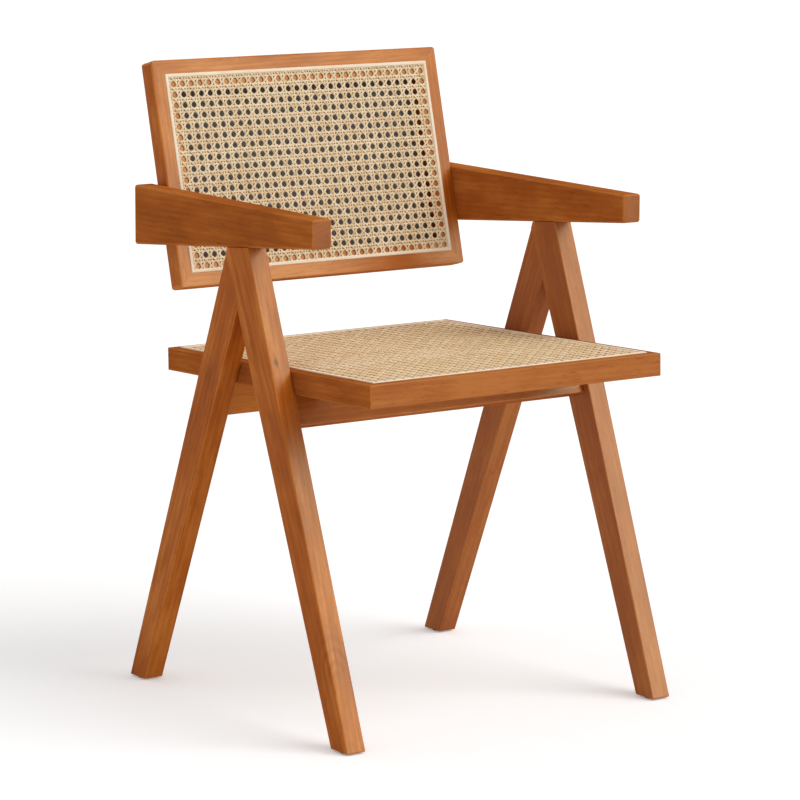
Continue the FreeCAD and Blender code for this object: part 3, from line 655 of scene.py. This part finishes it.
class StrandMesh:
    """Flat strands with a rounded skin, gathered into one mesh."""

    # Corners of a strand's section, across and up, in shares of its width and thickness
    SECTION = ((-0.50, -0.08), (-0.28, 0.40), (0.28, 0.40),
               (0.50, -0.08), (0.30, -0.50), (-0.30, -0.50))

    # Names of the layers that the cane's finish reads
    PLACES = "strand"
    TONES = "strand_tone"

    def __init__(self, name, thickness):
        self.name = name
        self.thickness = thickness
        self.points = []
        self.faces = []
        self.places = []
        self.tones = []
        self.chance = random.Random(name)

    def strand(self, middles, side, width):
        """Adds a strand through a row of middles, its width along a side vector."""
        count = len(self.SECTION)
        first = len(self.points)
        tone = self.chance.random()
        offset = self.chance.random()
        run = 0.0
        for number, middle in enumerate(middles):
            if number:
                run += (middle - middles[number - 1]).length
            for across, up in self.SECTION:
                self.points.append(middle + side * (across * width) + UP * (up * self.thickness))
                self.places.append((across * width + offset, run + offset))
                self.tones.append(tone)
        for ring in range(len(middles) - 1):
            start = first + ring * count
            for corner in range(count):
                following = (corner + 1) % count
                self.faces.append((start + corner, start + following,
                                   start + count + following, start + count + corner))
        last = first + (len(middles) - 1) * count
        self.faces.append(tuple(first + corner for corner in reversed(range(count))))
        self.faces.append(tuple(last + corner for corner in range(count)))

    def build(self, panel, material):
        """Makes the piece, in the panel's place."""
        mesh = bpy.data.meshes.new(self.name)
        mesh.from_pydata(self.points, [], self.faces)
        layer = mesh.uv_layers.new(name=self.PLACES)
        loops = np.empty(len(mesh.loops), dtype=np.int32)
        mesh.loops.foreach_get("vertex_index", loops)
        layer.uv.foreach_set("vector", np.array(self.places, dtype=np.float32)[loops].ravel())
        tone = mesh.attributes.new(self.TONES, "FLOAT", "POINT")
        tone.data.foreach_set("value", np.array(self.tones, dtype=np.float32))
        mesh.transform(panel.to_chair())
        mesh.shade_smooth()
        mesh.materials.append(material)
        piece = bpy.data.objects.new(self.name, mesh)
        bpy.context.scene.collection.objects.link(piece)
        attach(piece, "root")
        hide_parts(panel.node)


class Weave:
    """Six-way cane: pairs of strands both ways and a slanting strand each way between the holes.

    Places are counted in holes: a hole's middle is at whole numbers and a pair at the halves.
    """

    # Height of the waves in straight and slanting strands, in thicknesses of a strand
    RIPPLE = 0.50
    SWING = 0.90

    # Sections of a slanting strand for each hole that it passes
    SLANT_SECTIONS = 8

    def __init__(self, panel, first_column, first_row):
        settings = cane_settings()
        self.panel = panel
        self.pitch = (settings.pitch_across, settings.pitch_along)
        self.first = (first_column, first_row)
        self.reach = (panel.width, panel.length)
        self.tuck = settings.tuck
        self.thickness = settings.strand_thickness
        self.level = -panel.depth / 2
        self.width = settings.strand_width
        self.diagonal_width = settings.diagonal_width
        self.pair_reach = settings.pair_reach
        self.ripple = self.RIPPLE * self.thickness
        self.swing = self.SWING * self.thickness

    def place(self, axis, count):
        """Metres from the panel's edge, for a count of holes."""
        return self.first[axis] + count * self.pitch[axis]

    def count(self, axis, metres):
        return (metres - self.first[axis]) / self.pitch[axis]

    def span(self, axis):
        """The panel's two edges with the tuck beyond them, in holes."""
        return self.count(axis, -self.tuck), self.count(axis, self.reach[axis] + self.tuck)

    def pair_ripple(self, count, half):
        """Over and under the two strands of each pair that it crosses, from -1 to 1."""
        gap = count + 0.5 - round(count + 0.5)
        return math.sin(math.pi * gap / (2 * half)) if abs(gap) < 2 * half else 0.0

    def straight_counts(self, axis):
        """Where a straight strand has its sections, in holes along its run."""
        low, high = self.span(axis)
        half = self.pair_reach / self.pitch[axis]
        steps = (-0.5 - half, -0.5, -0.5 + half, -0.5 + 2 * half, 0.0, 0.5 - 2 * half)
        counts = [whole + step
                  for whole in range(math.floor(low), math.ceil(high) + 2) for step in steps]
        return [low] + [count for count in counts if low < count < high] + [high]

    def straight(self, name, axis):
        """The pairs that run along one axis, 0 for across and 1 for along."""
        strands = StrandMesh(name, self.thickness)
        cross = 1 - axis
        side = (Vector((0, 1, 0)), Vector((1, 0, 0)))[axis]
        half = self.pair_reach / self.pitch[axis]
        low, high = self.span(cross)
        counts = self.straight_counts(axis)
        for pair in range(math.floor(low), math.ceil(high) + 1):
            for hand in (-1, 1):
                aside = self.place(cross, pair + 0.5) + hand * self.pair_reach
                if not -self.tuck < aside < self.reach[cross] + self.tuck:
                    continue
                lift = self.ripple * hand * (1 if axis else -1)
                middles = []
                for count in counts:
                    height = self.level + lift * self.pair_ripple(count, half)
                    run = self.place(axis, count)
                    middles.append(Vector((aside, run, height) if axis else (run, aside, height)))
                strands.strand(middles, side, self.width)
        return strands

    def slanting(self, name, hand):
        """The strands that rise to the right, for a hand of 1, or fall to the right, for -1."""
        strands = StrandMesh(name, self.thickness)
        direction = Vector((self.pitch[0], hand * self.pitch[1], 0)).normalized()
        side = UP.cross(direction)
        low, high = self.span(0)
        bottom, top = self.span(1)
        first = math.floor(min(bottom - hand * low, bottom - hand * high))
        last = math.ceil(max(top - hand * low, top - hand * high))
        for line in range(first, last + 1):
            offset = line + 0.5
            ends = sorted((hand * (bottom - offset), hand * (top - offset)))
            start = max(low, ends[0])
            stop = min(high, ends[1])
            if (stop - start) * self.pitch[0] < 2 * self.tuck:
                continue
            numbers = range(math.floor(start * self.SLANT_SECTIONS),
                            math.ceil(stop * self.SLANT_SECTIONS) + 1)
            counts = [number / self.SLANT_SECTIONS for number in numbers]
            counts = [start] + [count for count in counts if start < count < stop] + [stop]
            middles = []
            for count in counts:
                wave = math.sin(math.pi / 2 * math.cos(2 * math.pi * count))
                height = self.level - hand * self.swing * wave
                along = self.place(1, hand * count + offset)
                middles.append(Vector((self.place(0, count), along, height)))
            strands.strand(middles, side, self.diagonal_width)
        return strands

    def build(self, name, material):
        """All the strands of one sheet, as four pieces."""
        for strands in (
            self.straight(name + "_lengthwise", 1),
            self.straight(name + "_crosswise", 0),
            self.slanting(name + "_rising", 1),
            self.slanting(name + "_falling", -1),
        ):
            strands.build(self.panel, material)


def centred(reach, pitch):
    """The place of the first hole in a row that sits in the middle."""
    holes = int(reach / pitch)
    return (reach - (holes - 1) * pitch) / 2


# One operator for each group of pieces

class ARMCHAIR_OT_legs(Operator):
    """Stain and lacquer the four legs"""

    bl_idname = "armchair.finish_legs"
    bl_label = "Finish Legs"

    def execute(self, context):
        settings = wood_settings()
        finish_boards("left_front_leg", "left_rear_leg", tone_shift=settings.leg_tone)
        # The right legs are faded, partly real fading and partly painted sheen
        finish_boards("right_front_leg", "right_rear_leg", tone_shift=settings.leg_tone,
                      fade_and_sheen=settings.right_leg_fade_and_sheen)
        return {"FINISHED"}


class ARMCHAIR_OT_arms(Operator):
    """Stain and lacquer the two armrests"""

    bl_idname = "armchair.finish_arms"
    bl_label = "Finish Armrests"

    def execute(self, context):
        settings = wood_settings()
        # The armrests are faded, partly real fading and partly painted sheen in place of their
        # gloss
        finish_boards("left_armrest", tone_shift=settings.left_arm_tone,
                      fade_and_sheen=settings.rubbed_fade_and_sheen, rubbed=True)
        finish_boards("right_armrest", tone_shift=settings.right_arm_tone,
                      fade_and_sheen=settings.rubbed_fade_and_sheen, rubbed=True)
        return {"FINISHED"}


class ARMCHAIR_OT_cross_rails(Operator):
    """Stain and lacquer the two cross rails under the seat"""

    bl_idname = "armchair.finish_cross_rails"
    bl_label = "Finish Cross Rails"

    def execute(self, context):
        # Painted shade: the front cross rail is painted darker for the shade of the seat above it
        finish_boards("front_cross_rail", tone_shift=wood_settings().front_rail_painted_shade)
        finish_boards("rear_cross_rail", tone_shift=wood_settings().rear_rail_tone)
        return {"FINISHED"}


class ARMCHAIR_OT_seat_frame(Operator):
    """Stain and lacquer the mitred frame of the seat"""

    bl_idname = "armchair.finish_seat_frame"
    bl_label = "Finish Seat Frame"

    def execute(self, context):
        settings = wood_settings()
        # Painted sheen: the seat's front board is painted paler and greyer in place of gloss
        finish_boards("seat_front_rail", tone_shift=settings.seat_front_sheen_tone,
                      fade_and_sheen=settings.seat_front_painted_sheen, rubbed=True)
        # The side and rear boards are faded, partly real fading and partly painted sheen in place
        # of their gloss
        finish_boards("seat_rear_rail", "seat_left_rail", "seat_right_rail",
                      tone_shift=settings.seat_tone, fade_and_sheen=settings.rubbed_fade_and_sheen, rubbed=True)
        return {"FINISHED"}


class ARMCHAIR_OT_back_frame(Operator):
    """Stain and lacquer the mitred frame of the back"""

    bl_idname = "armchair.finish_back_frame"
    bl_label = "Finish Back Frame"

    def execute(self, context):
        # Painted light: the boards of the back are painted paler for the brighter light high up
        finish_boards("back_top_rail", "back_bottom_rail", "back_left_stile", "back_right_stile",
                      tone_shift=wood_settings().back_painted_light)
        return {"FINISHED"}


class ARMCHAIR_OT_splines(Operator):
    """Finish the reeds that lock the cane in its grooves"""

    bl_idname = "armchair.finish_splines"
    bl_label = "Finish Splines"

    def execute(self, context):
        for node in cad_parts:
            if node.endswith("_spline"):
                finish_node(node, spline_reed("reed_" + node, grain_axis(node)))
        return {"FINISHED"}


class ARMCHAIR_OT_seat_cane(Operator):
    """Weave the cane of the seat"""

    bl_idname = "armchair.weave_seat"
    bl_label = "Weave Seat"

    def execute(self, context):
        settings = cane_settings()
        panel = CanePanel("seat_cane", UP, ACROSS)
        weave = Weave(panel, centred(panel.width, settings.pitch_across),
                      centred(panel.length, settings.pitch_along))
        # The seat's cane is a little warmer, and also painted paler as painted light for its upward
        # face
        material = strand_cane("seat_cane", settings.seat_lit_skin, settings.seat_lit_fibre)
        weave.build("seat_cane_strands", material)
        return {"FINISHED"}


class ARMCHAIR_OT_back_cane(Operator):
    """Weave the front and rear cane of the back"""

    bl_idname = "armchair.weave_back"
    bl_label = "Weave Back"

    def execute(self, context):
        settings = cane_settings()
        material = strand_cane("back_cane", settings.skin, settings.fibre)
        sides = (("back_cane", FRONT, ACROSS), ("back_rear_cane", REAR, -ACROSS))
        for node, outward, across in sides:
            panel = CanePanel(node, outward, across)
            weave = Weave(panel, settings.back_first_column, settings.back_first_row)
            weave.build(node + "_strands", material)
        return {"FINISHED"}


def cloth_hang(across, along):
    """How far a stretched cloth hangs at a place on it, as a share of its deepest sag."""
    slack = math.sin(math.pi * across) * math.sin(math.pi * along)
    fold = math.sin(7 * across + 2.2 * along) * math.cos(5 * along - 1.7 * across)
    return slack * (0.6 + 0.4 * fold)


class ARMCHAIR_OT_lining(Operator):
    """Stretch the dark cloth inside the back"""

    bl_idname = "armchair.stretch_lining"
    bl_label = "Stretch Lining"

    COLUMNS = 48
    ROWS = 30

    def execute(self, context):
        panel = CanePanel("back_lining", FRONT, ACROSS)
        sag = small_settings().lining_sag
        points = []
        for row in range(self.ROWS + 1):
            for column in range(self.COLUMNS + 1):
                across, along = column / self.COLUMNS, row / self.ROWS
                points.append((across * panel.width, along * panel.length,
                               sag * cloth_hang(across, along) - panel.depth / 2))
        faces = []
        for row in range(self.ROWS):
            for column in range(self.COLUMNS):
                start = row * (self.COLUMNS + 1) + column
                faces.append((start, start + 1, start + self.COLUMNS + 2, start + self.COLUMNS + 1))
        mesh = bpy.data.meshes.new("back_lining_cloth")
        mesh.from_pydata(points, [], faces)
        mesh.transform(panel.to_chair())
        mesh.shade_smooth()
        mesh.materials.append(dark_cloth())
        cloth = bpy.data.objects.new("back_lining_cloth", mesh)
        bpy.context.scene.collection.objects.link(cloth)
        thickness = cloth.modifiers.new("cloth thickness", "SOLIDIFY")
        thickness.thickness = panel.depth
        thickness.offset = 0.0
        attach(cloth, "root")
        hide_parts("back_lining")
        return {"FINISHED"}


class ARMCHAIR_OT_dowels(Operator):
    """Finish the dowels and mitre keys"""

    bl_idname = "armchair.finish_dowels"
    bl_label = "Finish Dowels"

    def execute(self, context):
        axes = {"arm_dowels": UP, "leg_dowels": REAR, "back_dowels": ACROSS, "mitre_keys": ACROSS}
        for kind, axis in axes.items():
            material = pale_hardwood("pale_" + kind, axis)
            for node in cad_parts:
                if node.endswith(kind):
                    finish_node(node, material)
        return {"FINISHED"}


class ARMCHAIR_OT_screws(Operator):
    """Finish the screws that hold the seat"""

    bl_idname = "armchair.finish_screws"
    bl_label = "Finish Screws"

    def execute(self, context):
        finish_node("seat_screws", screw_steel())
        return {"FINISHED"}


class ARMCHAIR_OT_glides(Operator):
    """Finish the four foot glides"""

    bl_idname = "armchair.finish_glides"
    bl_label = "Finish Glides"

    def execute(self, context):
        material = glide_pad()
        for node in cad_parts:
            if node.endswith("_glide"):
                finish_node(node, material)
        return {"FINISHED"}


# The stage

def direction_at(azimuth, elevation):
    """From the chair towards a place round it. Azimuth 0 is the front, and 90 degrees the right."""
    level = math.cos(elevation)
    return Vector((math.sin(azimuth) * level, -math.cos(azimuth) * level, math.sin(elevation)))


def seen_directly(tree):
    """1 for rays from the camera, or by way of a mirror or glass, and 0 for the rest."""
    path = tree.nodes.new("ShaderNodeLightPath")
    total = path.outputs["Is Camera Ray"]
    for name in ("Is Glossy Ray", "Is Transmission Ray"):
        most = tree.nodes.new("ShaderNodeMath")
        most.operation = "MAXIMUM"
        tree.links.new(total, most.inputs[0])
        tree.links.new(path.outputs[name], most.inputs[1])
        total = most.outputs["Value"]
    return total


class ARMCHAIR_OT_stage(Operator):
    """Set the floor, the light and the camera"""

    bl_idname = "armchair.set_stage"
    bl_label = "Set Stage"

    def execute(self, context):
        self.floor(context)
        self.light(context)
        self.softbox(context)
        self.camera(context)
        context.scene.view_settings.view_transform = "Standard"
        return {"FINISHED"}

    def floor(self, context):
        settings = stage_settings()
        reach = settings.floor_reach
        mesh = bpy.data.meshes.new("studio_floor")
        corners = [(-reach, -reach, 0), (reach, -reach, 0), (reach, reach, 0), (-reach, reach, 0)]
        mesh.from_pydata(corners, [], [(0, 1, 2, 3)])
        shader = Shader("studio_floor")
        lift = shader.maths("MULTIPLY", seen_directly(shader.tree), settings.floor_lift)
        shader.set(Base_Color=settings.floor, Roughness=1.0, Specular_IOR_Level=0.0,
                   Emission_Color=WHITE, Emission_Strength=lift)
        mesh.materials.append(shader.material)
        floor = bpy.data.objects.new("studio_floor", mesh)
        context.scene.collection.objects.link(floor)

    def light(self, context):
        settings = stage_settings()
        world = bpy.data.worlds.new("studio")
        world.use_nodes = True
        tree = world.node_tree
        level = tree.nodes.new("ShaderNodeMapRange")
        tree.links.new(seen_directly(tree), level.inputs["Value"])
        level.inputs["To Min"].default_value = settings.ambient
        level.inputs["To Max"].default_value = 1.0
        background = tree.nodes["Background"]
        background.inputs["Color"].default_value = WHITE
        tree.links.new(level.outputs["Result"], background.inputs["Strength"])
        context.scene.world = world
        lamp = bpy.data.lights.new("key_light", "SUN")
        lamp.energy = settings.key
        lamp.angle = settings.key_softness
        key = bpy.data.objects.new("key_light", lamp)
        towards = direction_at(settings.key_azimuth, settings.key_elevation)
        key.rotation_euler = towards.to_track_quat("Z", "Y").to_euler()
        context.scene.collection.objects.link(key)

    def softbox(self, context):
        """A tall panel at the front right that only gloss shows, as satin lacquer does."""
        settings = stage_settings()
        lamp = bpy.data.lights.new("softbox", "AREA")
        lamp.shape = "RECTANGLE"
        lamp.size = settings.softbox_width
        lamp.size_y = settings.softbox_length
        lamp.color = settings.softbox[:3]
        lamp.energy = settings.softbox_sheen * math.pi * lamp.size * lamp.size_y
        softbox = bpy.data.objects.new("softbox", lamp)
        towards = direction_at(settings.softbox_azimuth, 0.0)
        softbox.location = towards * settings.softbox_distance + UP * settings.softbox_height
        softbox.rotation_euler = towards.to_track_quat("Z", "Y").to_euler()
        softbox.visible_camera = False
        softbox.visible_diffuse = False
        context.scene.collection.objects.link(softbox)

    def camera(self, context):
        settings = stage_settings()
        lens = bpy.data.cameras.new("camera")
        lens.lens = settings.lens
        lens.clip_end = 2 * settings.floor_reach
        camera = bpy.data.objects.new("camera", lens)
        back = direction_at(settings.azimuth, settings.elevation)
        right = Vector((math.cos(settings.azimuth), math.sin(settings.azimuth), 0))
        axes = Matrix((right, back.cross(right), back)).transposed()
        place = Matrix.Translation(Vector(settings.target) + back * settings.distance)
        camera.matrix_world = place @ axes.to_4x4() @ Matrix.Rotation(settings.roll, 4, "Z")
        context.scene.collection.objects.link(camera)
        context.scene.camera = camera


OPERATORS = (
    ARMCHAIR_OT_legs,
    ARMCHAIR_OT_arms,
    ARMCHAIR_OT_cross_rails,
    ARMCHAIR_OT_seat_frame,
    ARMCHAIR_OT_back_frame,
    ARMCHAIR_OT_splines,
    ARMCHAIR_OT_seat_cane,
    ARMCHAIR_OT_back_cane,
    ARMCHAIR_OT_lining,
    ARMCHAIR_OT_dowels,
    ARMCHAIR_OT_screws,
    ARMCHAIR_OT_glides,
    ARMCHAIR_OT_stage,
)
SETTINGS = {
    "armchair_wood": ArmchairWood,
    "armchair_cane": ArmchairCane,
    "armchair_small_parts": ArmchairSmallParts,
    "armchair_stage": ArmchairStage,
}


class ARMCHAIR_PT_sidebar(Panel):
    """Sizes, colours and steps of the armchair"""

    bl_idname = "ARMCHAIR_PT_sidebar"
    bl_label = "Dining Armchair"
    bl_space_type = "VIEW_3D"
    bl_region_type = "UI"
    bl_category = "Armchair"

    def draw(self, context):
        for name, group in SETTINGS.items():
            box = self.layout.box()
            box.label(text=group.__doc__)
            for setting in group.__annotations__:
                box.prop(getattr(context.scene, name), setting)
        for operator in OPERATORS:
            self.layout.operator(operator.bl_idname)


CLASSES = (*SETTINGS.values(), *OPERATORS, ARMCHAIR_PT_sidebar)


def register():
    for item in CLASSES:
        bpy.utils.register_class(item)
    for name, group in SETTINGS.items():
        setattr(bpy.types.Scene, name, PointerProperty(type=group))


def unregister():
    for name in SETTINGS:
        delattr(bpy.types.Scene, name)
    for item in reversed(CLASSES):
        bpy.utils.unregister_class(item)


def main():
    register()
    bpy.ops.armchair.finish_legs()
    bpy.ops.armchair.finish_arms()
    bpy.ops.armchair.finish_cross_rails()
    bpy.ops.armchair.finish_seat_frame()
    bpy.ops.armchair.finish_back_frame()
    bpy.ops.armchair.finish_splines()
    bpy.ops.armchair.weave_seat()
    bpy.ops.armchair.weave_back()
    bpy.ops.armchair.stretch_lining()
    bpy.ops.armchair.finish_dowels()
    bpy.ops.armchair.finish_screws()
    bpy.ops.armchair.finish_glides()
    bpy.ops.armchair.set_stage()


if __name__ == "__main__":
    main()
